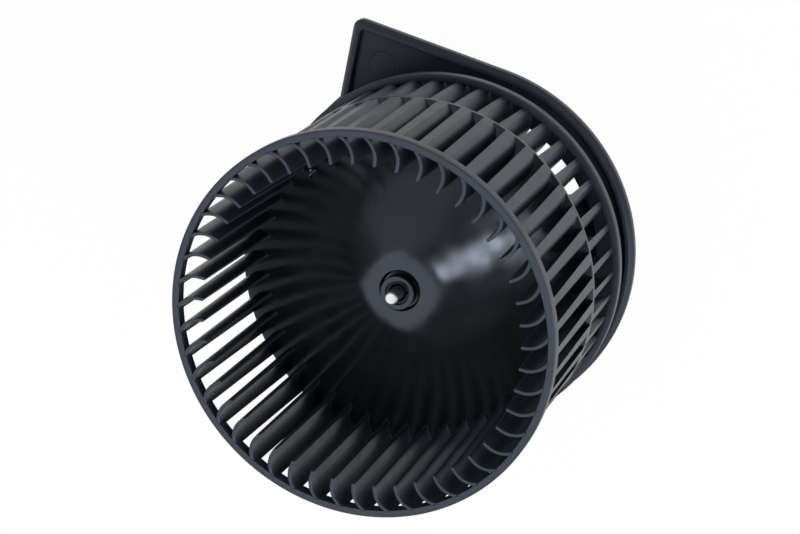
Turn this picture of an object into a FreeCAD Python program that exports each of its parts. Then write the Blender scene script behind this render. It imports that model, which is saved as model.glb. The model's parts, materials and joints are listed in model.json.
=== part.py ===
import FreeCAD, Part
import math
import os
import Sketcher
from FreeCAD import Placement, Rotation, Vector

# Blower motor: a squirrel-cage wheel on a small brushed motor, held in a moulded flange.
# The origin lies on the shaft's axis in the plane of the flange's rear face, which seats on the
# casing. +Z runs along the shaft towards the open end of the wheel, and the flange's tongue is on
# the +Y side. All sizes are in millimetres and degrees.

SIZES = {
    # fan wheel
    "wheel_radius": 72.5,
    "wheel_length": 98.4,
    "wheel_gap": 12.3,
    "ring_wall": 2.7,
    "front_ring_depth": 4.8,
    "rear_ring_depth": 4.3,
    "rear_ring_growth": 0.4,
    "blade_count": 47,
    "blade_phase": 1.5,
    "blade_sink": 0.6,
    "blade_chord": 10.4,
    "blade_curve_depth": 7.45,
    "blade_curve_radius": 8.1,
    "blade_thickness": 1.45,
    "blade_root_chord_gain": 1.1,
    "rear_blade_thickness": 1.2,
    "disc_depth": 62.8,
    "disc_wall": 1.9,
    "cone_fall": 0.3,
    "lip_width": 2.2,
    "lip_bevel": 0.4,
    "shoulder_width": 8.0,
    "recess_radius": 7.8,
    "recess_depth": 5.8,
    "boss_radius": 6.6,
    "boss_depth": 42.5,
    "hub_length": 11.5,
    "counterbore_radius": 4.5,
    "counterbore_depth": 3.0,
    "balance_hole_radius": 1.9,
    "balance_hole_place": 55.1,
    "balance_hole_angle": 129.4,
    # shaft, clip and washers
    "shaft_radius": 2.5,
    "shaft_reach": 6.9,
    "shaft_chamfer": 0.5,
    "shaft_tail": 4.0,
    "bore_clearance": 0.02,
    "running_clearance": 0.04,
    "seat_gap": 0.1,
    "clip_height": 2.2,
    "clip_wall": 0.9,
    "washer_radius": 4.6,
    "washer_thickness": 0.6,
    # mounting flange
    "flange_radius": 74.4,
    "flange_height": 4.8,
    "flange_floor": 1.9,
    "rim_width": 3.6,
    "rim_bevel": 1.8,
    "rim_inner_bevel": 0.4,
    "tongue_edge_angle": 68.0,
    "tongue_side_angle": 162.5,
    "tongue_side_distance": 58.7,
    "tongue_corner_radius": 3.6,
    "inlet_radius": 57.3,
    "inlet_bevel": 1.7,
    "spigot_wall": 2.0,
    "spigot_length": 8.0,
    "arm_count": 3,
    "arm_angle": 3.0,
    "arm_width": 28.0,
    "arm_depth": 6.0,
    "arm_wall": 2.4,
    "cradle_wall": 2.5,
    "cradle_height": 30.0,
    "cradle_lip": 2.0,
    "boss_reach": 5.9,
    "screw_boss_radius": 3.4,
    "screw_radius": 1.5,
    "screw_depth": 4.0,
    # motor can and field
    "can_radius": 30.0,
    "can_wall": 2.0,
    "can_bevel": 1.5,
    "can_front": 55.0,
    "can_length": 61.0,
    "dome_radius": 11.5,
    "dome_height": 5.0,
    "dome_hole_radius": 4.2,
    "magnet_wall": 5.2,
    "magnet_length": 36.0,
    "magnet_start": 15.0,
    "magnet_span": 130.0,
    "air_gap": 0.7,
    "clip_sheet": 0.8,
    "clip_leg": 3.6,
    "damper_thickness": 1.9,
    "damper_height": 8.0,
    # bearings
    "ball_radius": 6.5,
    "ball_flat": 3.0,
    "bush_length": 8.0,
    "felt_wall": 2.3,
    "felt_height": 3.0,
    "retainer_radius": 13.0,
    "retainer_sheet": 0.6,
    # armature
    "core_start": 24.0,
    "core_length": 20.0,
    "slot_count": 12,
    "slot_mouth": 2.2,
    "slot_outer_width": 6.6,
    "slot_inner_width": 2.6,
    "slot_depth": 10.5,
    "tooth_lip": 1.2,
    "insulator_thickness": 1.0,
    "slot_liner": 0.35,
    "end_turn_height": 5.5,
    "end_turn_inner": 8.0,
    "end_turn_outer": 19.5,
    "end_turn_bevel": 2.2,
    "commutator_radius": 8.5,
    "bar_depth": 1.7,
    "bar_gap": 0.6,
    "bar_length": 12.0,
    "tang_reach": 1.6,
    "tang_height": 1.6,
    "commutator_end": 15.2,
    # brush gear and rear end
    "bracket_sheet": 1.5,
    "bracket_pocket_radius": 10.5,
    "bracket_pocket_depth": 5.5,
    "card_start": 0.5,
    "card_thickness": 2.0,
    "card_hole_radius": 11.5,
    "brush_width": 5.0,
    "brush_height": 4.6,
    "brush_length": 11.0,
    "brush_gap": 0.3,
    "box_wall": 0.7,
    "spring_wire": 0.5,
    "choke_radius": 2.6,
    "choke_length": 11.0,
    "choke_place": 17.0,
    "cap_depth": 8.5,
    "cap_wall": 2.0,
    "cap_bevel": 1.4,
    "ear_thickness": 2.5,
    "ear_radius": 5.2,
    "head_radius": 2.9,
    "head_height": 1.9,
    "socket_width": 22.0,
    "socket_thickness": 13.4,
    "socket_length": 13.0,
    "socket_wall": 1.6,
    "socket_place": 14.0,
    "terminal_width": 6.3,
    "terminal_sheet": 0.8,
    "terminal_pitch": 9.5,
    "terminal_reach": 9.5,
}

doc = FreeCAD.newDocument("blower_motor")
sheet = doc.addObject("Spreadsheet::Sheet", "Sizes")
for row, (name, number) in enumerate(SIZES.items(), start=1):
    sheet.set(f"A{row}", name)
    sheet.set(f"B{row}", str(number))
    sheet.setAlias(f"B{row}", name)
doc.recompute()


class Size:
    """A number together with the sheet formula that gives it."""

    def __init__(self, number, formula=None):
        self.number = float(number)
        self.formula = formula or f"{self.number:.9g}"

    def join(self, other, sign, number):
        return Size(number, f"({self.formula} {sign} {other.formula})")

    def __add__(self, other):
        other = size_of(other)
        return self.join(other, "+", self.number + other.number)

    def __sub__(self, other):
        other = size_of(other)
        return self.join(other, "-", self.number - other.number)

    def __mul__(self, other):
        other = size_of(other)
        return self.join(other, "*", self.number * other.number)

    def __truediv__(self, other):
        other = size_of(other)
        return self.join(other, "/", self.number / other.number)

    def __radd__(self, other):
        return size_of(other) + self

    def __rsub__(self, other):
        return size_of(other) - self

    def __rmul__(self, other):
        return size_of(other) * self

    def __rtruediv__(self, other):
        return size_of(other) / self

    def __neg__(self):
        return Size(-self.number, f"(-1 * {self.formula})")


def size_of(value):
    return value if isinstance(value, Size) else Size(value)


def root(value):
    return Size(math.sqrt(value.number), f"sqrt({value.formula})")


def sine(angle):
    angle = size_of(angle)
    return Size(math.sin(math.radians(angle.number)), f"sin({angle.formula} * 1 deg)")


def cosine(angle):
    angle = size_of(angle)
    return Size(math.cos(math.radians(angle.number)), f"cos({angle.formula} * 1 deg)")


class SheetSizes:
    """Gives each named size of the sheet as an attribute."""

    def __getattr__(self, name):
        return Size(sheet.get(name), f"Sizes.{name}")


s = SheetSizes()


# Bodies, sketches and features

def new_body(label):
    body = doc.addObject("PartDesign::Body", label)
    body.Label = label
    body.AllowCompound = True
    return body


def origin_feature(body, role):
    return next(item for item in body.Origin.OriginFeatures if item.Role == role)


def new_sketch(body, name, role="XY_Plane", lift=0, turn=0):
    """A sketch on one of the body's origin planes, lifted off it and turned in it."""
    sketch = body.newObject("Sketcher::SketchObject", name)
    sketch.AttachmentSupport = [(origin_feature(body, role), "")]
    sketch.MapMode = "FlatFace"
    lift = size_of(lift)
    turn = size_of(turn)
    sketch.AttachmentOffset = Placement(Vector(0, 0, lift.number), Rotation(Vector(0, 0, 1), turn.number))
    sketch.setExpression("AttachmentOffset.Base.z", lift.formula)
    if turn.number:
        sketch.setExpression("AttachmentOffset.Rotation.Angle", turn.formula)
    return sketch


def hold(sketch, kind, where, size):
    """Ties one coordinate or radius of a sketch to its formula."""
    index = sketch.addConstraint(Sketcher.Constraint(kind, *where, size.number))
    sketch.setExpression(f"Constraints[{index}]", size.formula)


def draw_circle(sketch, across, up, radius):
    across, up, radius = size_of(across), size_of(up), size_of(radius)
    circle = Part.Circle(Vector(across.number, up.number, 0), Vector(0, 0, 1), radius.number)
    index = sketch.addGeometry(circle, False)
    hold(sketch, "Radius", (index,), radius)
    hold(sketch, "DistanceX", (-1, 1, index, 3), across)
    hold(sketch, "DistanceY", (-1, 1, index, 3), up)


def draw_outline(sketch, corners):
    """Closed outline. A corner is (across, up), or (across, up, centre, turn) where an arc about
    centre leads to it from the corner before, turning left with +1 and right with -1."""
    places = [(size_of(corner[0]), size_of(corner[1])) for corner in corners]
    edges = []
    for index, corner in enumerate(corners):
        start = Vector(places[index - 1][0].number, places[index - 1][1].number, 0)
        end = Vector(places[index][0].number, places[index][1].number, 0)
        if len(corner) == 2:
            edges.append((sketch.addGeometry(Part.LineSegment(start, end), False), 1, 2))
            continue
        centre = Vector(size_of(corner[2][0]).number, size_of(corner[2][1]).number, 0)
        first, last = (start, end) if corner[3] > 0 else (end, start)
        first_angle = math.atan2(first.y - centre.y, first.x - centre.x)
        last_angle = math.atan2(last.y - centre.y, last.x - centre.x)
        circle = Part.Circle(centre, Vector(0, 0, 1), (start - centre).Length)
        arc = sketch.addGeometry(Part.ArcOfCircle(circle, first_angle, last_angle), False)
        edges.append((arc, 1, 2) if corner[3] > 0 else (arc, 2, 1))
    for index, (edge, start_point, end_point) in enumerate(edges):
        before = edges[index - 1]
        sketch.addConstraint(Sketcher.Constraint("Coincident", before[0], before[2], edge, start_point))
    for index, corner in enumerate(corners):
        edge, start_point, end_point = edges[index]
        across, up = places[index]
        hold_across = hold_up = True
        if len(corner) > 2:
            centre = size_of(corner[2][0]), size_of(corner[2][1])
            hold(sketch, "DistanceX", (-1, 1, edge, 3), centre[0])
            hold(sketch, "DistanceY", (-1, 1, edge, 3), centre[1])
            steep = abs(across.number - centre[0].number) > abs(up.number - centre[1].number)
            hold_across, hold_up = not steep, steep
        if hold_across:
            hold(sketch, "DistanceX", (-1, 1, edge, end_point), across)
        if hold_up:
            hold(sketch, "DistanceY", (-1, 1, edge, end_point), up)


def draw_box(sketch, left, right, low, high):
    draw_outline(sketch, [(left, low), (right, low), (right, high), (left, high)])


def pad(body, sketch, length, name="Pad"):
    feature = body.newObject("PartDesign::Pad", name)
    feature.Profile = sketch
    feature.setExpression("Length", size_of(length).formula)
    doc.recompute()
    return feature


def pocket(body, sketch, length, name="Pocket", upward=False):
    """Cuts down from the sketch, or up where upward is set."""
    feature = body.newObject("PartDesign::Pocket", name)
    feature.Profile = sketch
    feature.Reversed = upward
    feature.setExpression("Length", size_of(length).formula)
    volume = body.Shape.Volume
    doc.recompute()
    if feature.Shape.Volume > volume - 1e-3:
        raise ValueError(f"{body.Label}: {name} cuts nothing")
    return feature


def turned(body, corners, name, kind="PartDesign::Revolution"):
    """Turns an outline of (radius, height) corners about the body's Z axis."""
    sketch = new_sketch(body, f"{name}_section", "XZ_Plane")
    draw_outline(sketch, corners)
    feature = body.newObject(kind, name)
    feature.Profile = sketch
    feature.ReferenceAxis = (sketch, ["V_Axis"])
    feature.Angle = 360
    doc.recompute()
    return feature


def groove(body, corners, name):
    volume = body.Shape.Volume
    feature = turned(body, corners, name, "PartDesign::Groove")
    if feature.Shape.Volume > volume - 1e-3:
        raise ValueError(f"{body.Label}: {name} cuts nothing")
    return feature


def around(body, features, count, name="Around"):
    """Repeats features evenly about the body's Z axis."""
    feature = body.newObject("PartDesign::PolarPattern", name)
    feature.Originals = features
    feature.Axis = (origin_feature(body, "Z_Axis"), [""])
    feature.Angle = 360
    feature.setExpression("Occurrences", size_of(count).formula)
    body.Tip = feature
    doc.recompute()
    return feature


def edge_names(shape, test):
    return [f"Edge{index}" for index, edge in enumerate(shape.Edges, start=1) if test(edge)]


def rounded(body, base, names, radius, name="Rounding"):
    feature = body.newObject("PartDesign::Fillet", name)
    feature.Base = (base, names)
    feature.setExpression("Radius", size_of(radius).formula)
    doc.recompute()
    return feature


def bevelled(body, base, names, size, name="Bevel"):
    feature = body.newObject("PartDesign::Chamfer", name)
    feature.Base = (base, names)
    feature.setExpression("Size", size_of(size).formula)
    doc.recompute()
    return feature


def ring(label, inner, outer, low, high):
    body = new_body(label)
    turned(body, [(inner, low), (outer, low), (outer, high), (inner, high)], "Ring")
    return body


# Heights and radii that several sub-parts share

wheel_rear = s.flange_height + s.wheel_gap
wheel_front = wheel_rear + s.wheel_length
ring_inner = s.wheel_radius - s.ring_wall
blade_outer = ring_inner + s.blade_sink
disc_edge = wheel_front - s.disc_depth
boss_face = wheel_front - s.boss_depth
hub_rear = boss_face - s.hub_length
hub_bore = s.shaft_radius + s.bore_clearance
clip_seat = boss_face - s.counterbore_depth
shaft_front = boss_face + s.shaft_reach
can_inner = s.can_radius - s.can_wall
can_rear = s.can_front - s.can_length
can_roof = s.can_front - s.can_wall
dome_inner = s.dome_radius - s.can_wall
dome_roof = s.can_front + s.dome_height - s.can_wall
ball_end = root(s.ball_radius * s.ball_radius - s.bush_length * s.bush_length / 4)
front_ball = dome_roof - s.seat_gap - s.bush_length / 2
bracket_low = can_rear + s.can_wall / 2
bracket_high = bracket_low + s.bracket_sheet
pocket_floor = bracket_low - s.bracket_pocket_depth + s.bracket_sheet
rear_ball = pocket_floor + s.seat_gap + s.bush_length / 2
core_radius = can_inner - s.seat_gap - s.magnet_wall - s.air_gap
core_end = s.core_start + s.core_length
card_top = s.card_start + s.card_thickness
cradle_inner = s.can_radius + s.damper_thickness + 2 * s.seat_gap
cradle_outer = cradle_inner + s.cradle_wall
boss_place = cradle_outer + s.boss_reach
cradle_low = -s.spigot_length
cradle_high = cradle_low + s.cradle_height
cap_low = cradle_low - s.cap_depth


def cone_height(radius):
    """Height of the wheel disc's front face at a radius."""
    return disc_edge + s.cone_fall * (blade_outer - radius)


# Fan wheel

def circle_crossing(centre_across, centre_up, radius, outer):
    """Point where a circle about a centre meets the circle of radius outer about the axis."""
    squared = centre_across * centre_across + centre_up * centre_up
    distance = root(squared)
    along = (outer * outer - radius * radius + squared) / (2 * distance)
    beside = root(outer * outer - along * along)
    across = (along * centre_across + beside * centre_up) / distance
    up = (along * centre_up - beside * centre_across) / distance
    return across, up


def draw_blade(sketch, thickness):
    """Blade section: a straight inner part that curves forward into the ring."""
    back = thickness / 2
    bend = ring_inner - s.blade_curve_depth
    centre = (bend, s.blade_curve_radius + back)
    tip = blade_outer - s.blade_chord - s.blade_root_chord_gain
    outer_point = circle_crossing(*centre, s.blade_curve_radius + thickness, blade_outer)
    inner_point = circle_crossing(*centre, s.blade_curve_radius, blade_outer)
    draw_outline(sketch, [
        (tip, -back), (bend, -back), (*outer_point, centre, 1), inner_point,
        (bend, back, centre, -1), (tip, back)])


def blades(label, low, high, thickness, turn, trims):
    """All blades of one side of the disc, each cut to its seats on the disc and in the ring."""
    body = new_body(label)
    section = new_sketch(body, "Section", lift=low, turn=turn)
    draw_blade(section, thickness)
    around(body, [pad(body, section, high - low, "Blade")], s.blade_count, "Blades")
    for name, corners in trims:
        groove(body, corners, name)
    return body


def wheel_disc():
    """Cone disc that flattens to a lip about its recess, and the boss in there with the clip's seat."""
    lip_edge = s.recess_radius + s.lip_width
    shoulder = lip_edge + s.shoulder_width
    lip_height = cone_height(shoulder) + s.cone_fall * s.shoulder_width / 2
    recess_floor = boss_face - s.recess_depth
    recess_outer = s.recess_radius + s.disc_wall
    body = new_body("wheel_disc")
    turned(body, [
        (s.counterbore_radius, clip_seat), (s.counterbore_radius, boss_face),
        (s.boss_radius, boss_face), (s.boss_radius, recess_floor),
        (s.recess_radius, recess_floor), (s.recess_radius, lip_height - s.lip_bevel),
        (s.recess_radius + s.lip_bevel, lip_height), (lip_edge, lip_height),
        (shoulder, cone_height(shoulder)), (blade_outer, disc_edge),
        (blade_outer, disc_edge - s.disc_wall), (shoulder, cone_height(shoulder) - s.disc_wall),
        (lip_edge, lip_height - s.disc_wall), (recess_outer, lip_height - s.disc_wall),
        (recess_outer, recess_floor - s.disc_wall), (s.boss_radius, recess_floor - s.disc_wall),
        (s.boss_radius, hub_rear), (hub_bore, hub_rear), (hub_bore, clip_seat)], "Disc")
    hole = new_sketch(body, "BalanceHole", lift=wheel_front)
    draw_circle(hole, s.balance_hole_place * cosine(s.balance_hole_angle),
                s.balance_hole_place * sine(s.balance_hole_angle), s.balance_hole_radius)
    pocket(body, hole, s.wheel_length, "Hole")
    return body


def fan_wheel():
    """One moulding: the disc, two rings and the blades between them, which meet face to face.
    The rear blades stand half a pitch round from the front ones."""
    inside = blade_outer - s.blade_chord - 2 * s.blade_root_chord_gain
    root_tip = inside + s.blade_root_chord_gain
    end_tip = root_tip + s.blade_root_chord_gain
    rear_ring_radius = s.wheel_radius + s.rear_ring_growth
    beyond = rear_ring_radius + s.ring_wall
    front_ring_low = wheel_front - s.front_ring_depth
    rear_ring_high = wheel_rear + s.rear_ring_depth
    front_low = cone_height(blade_outer)
    rear_high = cone_height(inside) - s.disc_wall
    front = blades("wheel_front_blades", front_low, wheel_front, s.blade_thickness, s.blade_phase, [
        ("Root", [(inside, front_low - s.disc_wall), (beyond, front_low - s.disc_wall),
                  (beyond, cone_height(beyond)), (inside, cone_height(inside))]),
        ("RingSeat", [(ring_inner, front_ring_low), (beyond, front_ring_low),
                      (beyond, wheel_front + s.ring_wall), (ring_inner, wheel_front + s.ring_wall)]),
        ("TipSlant", [(inside, front_low), (root_tip, front_low), (end_tip, wheel_front),
                      (inside, wheel_front)])])
    rear = blades("wheel_rear_blades", wheel_rear, rear_high, s.rear_blade_thickness,
                  s.blade_phase + 180 / s.blade_count, [
        ("Root", [(inside, rear_high), (beyond, cone_height(beyond) - s.disc_wall),
                  (beyond, rear_high + s.disc_wall), (inside, rear_high + s.disc_wall)]),
        ("RingSeat", [(ring_inner, wheel_rear - s.ring_wall), (beyond, wheel_rear - s.ring_wall),
                      (beyond, rear_ring_high), (ring_inner, rear_ring_high)]),
        ("TipSlant", [(inside, wheel_rear), (end_tip, wheel_rear), (root_tip, rear_high),
                      (inside, rear_high)])])
    wheel = doc.addObject("Part::Compound", "fan_wheel")
    wheel.Links = [wheel_disc(), front, rear,
                   ring("wheel_front_ring", ring_inner, s.wheel_radius, front_ring_low, wheel_front),
                   ring("wheel_rear_ring", ring_inner, rear_ring_radius, wheel_rear, rear_ring_high)]
    doc.recompute()
    return wheel


# Shaft and what turns with it

def motor_shaft():
    tail = pocket_floor - s.shaft_tail
    neck = s.shaft_radius - s.shaft_chamfer
    body = new_body("motor_shaft")
    turned(body, [(0, tail), (neck, tail), (s.shaft_radius, tail + s.shaft_chamfer),
                  (s.shaft_radius, shaft_front - s.shaft_chamfer), (neck, shaft_front),
                  (0, shaft_front)], "Turning")
    return body


def hub_clip():
    """Spring sleeve in the boss's counterbore, split on one side."""
    inner = s.shaft_radius + s.seat_gap
    outer = s.counterbore_radius - s.seat_gap
    body = new_body("hub_clip")
    top = clip_seat + s.clip_height
    turned(body, [(inner, clip_seat + s.seat_gap), (outer, clip_seat + s.seat_gap), (outer, top),
                  (outer - s.clip_wall, top), (inner, top - s.clip_wall)], "Sleeve")
    slit = new_sketch(body, "Slit", lift=top)
    draw_box(slit, 0, outer + s.clip_wall, -s.clip_wall / 2, s.clip_wall / 2)
    pocket(body, slit, s.clip_height, "SlitCut")
    return body


def thrust_washers():
    """Loose washers on the shaft, one inside each bearing."""
    body = new_body("thrust_washers")
    bore = s.shaft_radius + s.bore_clearance
    front_high = front_ball - s.bush_length / 2 - s.seat_gap
    front_low = front_high - s.washer_thickness
    rear_low = rear_ball + s.bush_length / 2 + s.seat_gap
    rear_high = rear_low + s.washer_thickness
    for name, low, high in (("FrontWasher", front_low, front_high), ("RearWasher", rear_low, rear_high)):
        turned(body, [(bore, low), (s.washer_radius, low), (s.washer_radius, high), (bore, high)], name)
    return body


# Armature

def draw_slot(sketch, radius, inset):
    """Slot of the core, opened to the air gap by its narrow mouth."""
    mouth = s.slot_mouth / 2 - inset
    wide = s.slot_outer_width / 2 - inset
    narrow = s.slot_inner_width / 2 - inset
    shoulder = core_radius - s.tooth_lip - inset
    floor = core_radius - s.slot_depth + inset
    draw_outline(sketch, [(floor, -narrow), (shoulder, -wide), (shoulder, -mouth), (radius, -mouth),
                          (radius, mouth), (shoulder, mouth), (shoulder, wide), (floor, narrow)])


def slotted_disc(body, low, height, name):
    """A disc with the core's slots and the shaft's bore."""
    face = new_sketch(body, f"{name}_face", lift=low)
    draw_circle(face, 0, 0, core_radius)
    pad(body, face, height, name)
    return body


def armature_core():
    body = new_body("armature_core")
    slotted_disc(body, s.core_start, s.core_length, "Stack")
    slot = new_sketch(body, "Slot", lift=core_end)
    draw_slot(slot, core_radius + s.air_gap, 0)
    cut = pocket(body, slot, s.core_length, "SlotCut")
    around(body, [cut], s.slot_count, "Slots")
    bore = new_sketch(body, "Bore", lift=core_end)
    draw_circle(bore, 0, 0, hub_bore)
    pocket(body, bore, s.core_length, "BoreCut")
    return body


def armature_insulators():
    """Star-shaped end plates that keep the wire off the core."""
    body = new_body("armature_insulators")
    for name, low in (("FrontStar", core_end), ("RearStar", s.core_start - s.insulator_thickness)):
        slotted_disc(body, low, s.insulator_thickness, name)
    slot = new_sketch(body, "Slot", lift=core_end + s.insulator_thickness)
    draw_slot(slot, core_radius + s.air_gap, 0)
    depth = s.core_length + 2 * s.insulator_thickness
    cut = pocket(body, slot, depth, "SlotCut")
    around(body, [cut], s.slot_count, "Slots")
    bore = new_sketch(body, "Bore", lift=core_end + s.insulator_thickness)
    draw_circle(bore, 0, 0, hub_bore)
    pocket(body, bore, depth, "BoreCut")
    return body


def armature_winding():
    """Wire in the slots and the rounded bundles of its end turns."""
    low = s.core_start - s.insulator_thickness
    high = core_end + s.insulator_thickness
    bevel = s.end_turn_bevel
    body = new_body("armature_winding")
    for name, foot, top, turn in (("FrontTurns", high, high + s.end_turn_height, 1),
                                  ("RearTurns", low, low - s.end_turn_height, -1)):
        shoulder = top - turn * bevel
        turned(body, [(s.end_turn_inner, foot), (s.end_turn_outer, foot), (s.end_turn_outer, shoulder),
                      (s.end_turn_outer - bevel, top), (s.end_turn_inner + bevel, top),
                      (s.end_turn_inner, shoulder)], name)
    wire = new_sketch(body, "Wire", lift=low)
    inset = s.slot_liner
    wide = s.slot_outer_width / 2 - inset
    narrow = s.slot_inner_width / 2 - inset
    draw_outline(wire, [(core_radius - s.slot_depth + inset, -narrow),
                        (core_radius - s.tooth_lip - inset, -wide),
                        (core_radius - s.tooth_lip - inset, wide),
                        (core_radius - s.slot_depth + inset, narrow)])
    bundle = pad(body, wire, high - low, "Bundle")
    around(body, [bundle], s.slot_count, "Bundles")
    return body


def commutator_hub():
    low = s.commutator_end - s.tang_height - s.bar_length
    return ring("commutator_hub", hub_bore, s.commutator_radius - s.bar_depth - s.bore_clearance,
                low - s.insulator_thickness, s.commutator_end)


def commutator_bars():
    """Copper bars with a hook each for the wire."""
    low = s.commutator_end - s.tang_height - s.bar_length
    foot = s.commutator_radius - s.bar_depth
    half = (foot * sine(180 / s.slot_count) - s.bar_gap / 2)
    top_half = (s.commutator_radius * sine(180 / s.slot_count) - s.bar_gap / 2)
    body = new_body("commutator_bars")
    bar = new_sketch(body, "Bar", lift=low)
    draw_outline(bar, [(foot, -half), (s.commutator_radius, -top_half),
                       (s.commutator_radius, top_half, (0, 0), 1), (foot, half)])
    bar_pad = pad(body, bar, s.bar_length + s.tang_height, "BarPad")
    tang = new_sketch(body, "Tang", lift=s.commutator_end - s.tang_height)
    draw_box(tang, foot + s.bar_depth / 2, s.commutator_radius + s.tang_reach, -half / 2, half / 2)
    tang_pad = pad(body, tang, s.tang_height, "TangPad")
    around(body, [bar_pad, tang_pad], s.slot_count, "Bars")
    return body


# Motor can, field and bearings

def motor_can():
    """Drawn steel cup, open at the rear, with a dome that seats the front bearing."""
    body = new_body("motor_can")
    turned(body, [
        (can_inner, can_rear), (s.can_radius, can_rear), (s.can_radius, s.can_front - s.can_bevel),
        (s.can_radius - s.can_bevel, s.can_front),
        (s.dome_radius, s.can_front), (s.dome_radius, s.can_front + s.dome_height - s.can_bevel),
        (s.dome_radius - s.can_bevel, s.can_front + s.dome_height),
        (s.dome_hole_radius, s.can_front + s.dome_height), (s.dome_hole_radius, dome_roof),
        (dome_inner, dome_roof), (dome_inner, can_roof), (can_inner, can_roof)], "Cup")
    return body


def draw_sector(sketch, inner, outer, half_angle):
    """Part of a ring on the +X side."""
    draw_outline(sketch, [
        (inner * cosine(half_angle), -inner * sine(half_angle)),
        (outer * cosine(half_angle), -outer * sine(half_angle)),
        (outer * cosine(half_angle), outer * sine(half_angle), (0, 0), 1),
        (inner * cosine(half_angle), inner * sine(half_angle)),
        (inner * cosine(half_angle), -inner * sine(half_angle), (0, 0), -1)][1:])


def field_magnets():
    outer = can_inner - s.seat_gap
    body = new_body("field_magnets")
    arc = new_sketch(body, "Arc", lift=s.magnet_start)
    draw_sector(arc, outer - s.magnet_wall, outer, s.magnet_span / 2)
    around(body, [pad(body, arc, s.magnet_length, "Magnet")], 2, "Pair")
    return body


def magnet_clips():
    """Bent springs in the two gaps, each with a leg against either magnet."""
    outer = can_inner - s.seat_gap
    leg_angle = 90 - s.magnet_span / 2 - 1
    body = new_body("magnet_clips")
    back = new_sketch(body, "Back", lift=s.magnet_start, turn=90)
    draw_sector(back, outer - s.clip_sheet, outer, leg_angle)
    features = [pad(body, back, s.magnet_length, "BackPad")]
    for name, side in (("Left", 1), ("Right", -1)):
        leg = new_sketch(body, f"{name}Leg", lift=s.magnet_start, turn=90 + side * leg_angle)
        draw_box(leg, outer - s.clip_leg, outer - s.clip_sheet / 2,
                 -s.clip_sheet / 2 - side * s.clip_sheet / 2, s.clip_sheet / 2 - side * s.clip_sheet / 2)
        features.append(pad(body, leg, s.magnet_length, f"{name}Pad"))
    around(body, features, 2, "Pair")
    return body


def bearing(label, middle):
    """Sintered bush with a ball-shaped outside."""
    bore = s.shaft_radius + s.running_clearance
    half = s.bush_length / 2
    flat = s.ball_flat / 2
    body = new_body(label)
    turned(body, [(bore, middle - half), (ball_end, middle - half), (s.ball_radius, middle - flat),
                  (s.ball_radius, middle + flat), (ball_end, middle + half), (bore, middle + half)],
           "Bush")
    return body


def oil_felt(label, middle):
    inner = s.ball_radius + s.seat_gap
    return ring(label, inner, inner + s.felt_wall, middle - s.felt_height / 2, middle + s.felt_height / 2)


def bearing_retainer(label, seat, ball, side):
    """Sheet ring against its wall, with a cone of spring fingers that press on the ball."""
    end = ball_end + s.seat_gap
    tip = ball - side * s.bush_length / 2
    knee = s.ball_radius + s.felt_wall + 2 * s.retainer_sheet + s.seat_gap
    near = seat - side * s.seat_gap
    far = near - side * s.retainer_sheet
    body = new_body(label)
    turned(body, [(end, tip), (knee, near), (s.retainer_radius, near), (s.retainer_radius, far),
                  (knee, far), (end, tip - side * s.retainer_sheet)], "Sheet")
    return body


def end_bracket():
    """Sheet end of the can, drawn out to the rear to seat the rear bearing."""
    pocket_inner = s.bracket_pocket_radius - s.bracket_sheet
    low = pocket_floor - s.bracket_sheet
    body = new_body("end_bracket")
    turned(body, [
        (s.dome_hole_radius, low), (s.bracket_pocket_radius, low), (s.bracket_pocket_radius, bracket_low),
        (can_inner - s.bore_clearance, bracket_low), (can_inner - s.bore_clearance, bracket_high),
        (pocket_inner, bracket_high), (pocket_inner, pocket_floor),
        (s.dome_hole_radius, pocket_floor)], "Sheet")
    for side in (1, -1):
        window = new_sketch(body, f"Window{side + 1}", lift=bracket_high)
        draw_box(window, side * s.terminal_pitch / 2 - s.terminal_width / 2 - s.box_wall,
                 side * s.terminal_pitch / 2 + s.terminal_width / 2 + s.box_wall,
                 s.socket_place - s.box_wall - s.terminal_sheet,
                 s.socket_place + s.box_wall + s.terminal_sheet)
        pocket(body, window, s.bracket_sheet, f"WindowCut{side + 1}")
    return body


# Brush gear

def brush_card():
    body = ring("brush_card", s.card_hole_radius, can_inner - s.seat_gap, s.card_start, card_top)
    post = new_sketch(body, "Foot", lift=bracket_high)
    foot_place = (s.card_hole_radius + can_inner) / 2
    draw_box(post, foot_place - s.choke_radius, foot_place + s.choke_radius, -s.choke_radius,
             s.choke_radius)
    around(body, [pad(body, post, s.card_start - bracket_high + s.card_thickness / 2, "FootPad")], 4, "Feet")
    return body


brush_low = card_top + s.box_wall + s.seat_gap
brush_start = s.commutator_radius + s.brush_gap


def brush_boxes():
    """Folded brass boxes on the card, open towards the commutator."""
    half = s.brush_width / 2 + s.seat_gap + s.box_wall
    high = s.brush_height + 2 * s.seat_gap + 2 * s.box_wall
    start = s.card_hole_radius + s.seat_gap
    end = brush_start + s.brush_length - s.brush_gap
    body = new_body("brush_boxes")
    base = new_sketch(body, "Base", lift=card_top)
    draw_box(base, start, end, -half, half)
    outside = pad(body, base, high, "Outside")
    hollow = new_sketch(body, "Hollow", "YZ_Plane", lift=end)
    draw_box(hollow, s.box_wall - half, half - s.box_wall, card_top + s.box_wall,
             card_top + high - s.box_wall)
    inside = pocket(body, hollow, end - start, "Inside")
    around(body, [outside, inside], 2, "Pair")
    return body


def brushes():
    body = new_body("brushes")
    face = new_sketch(body, "Face", lift=brush_low)
    draw_box(face, brush_start, brush_start + s.brush_length, -s.brush_width / 2, s.brush_width / 2)
    around(body, [pad(body, face, s.brush_height, "Brush")], 2, "Pair")
    return body


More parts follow.
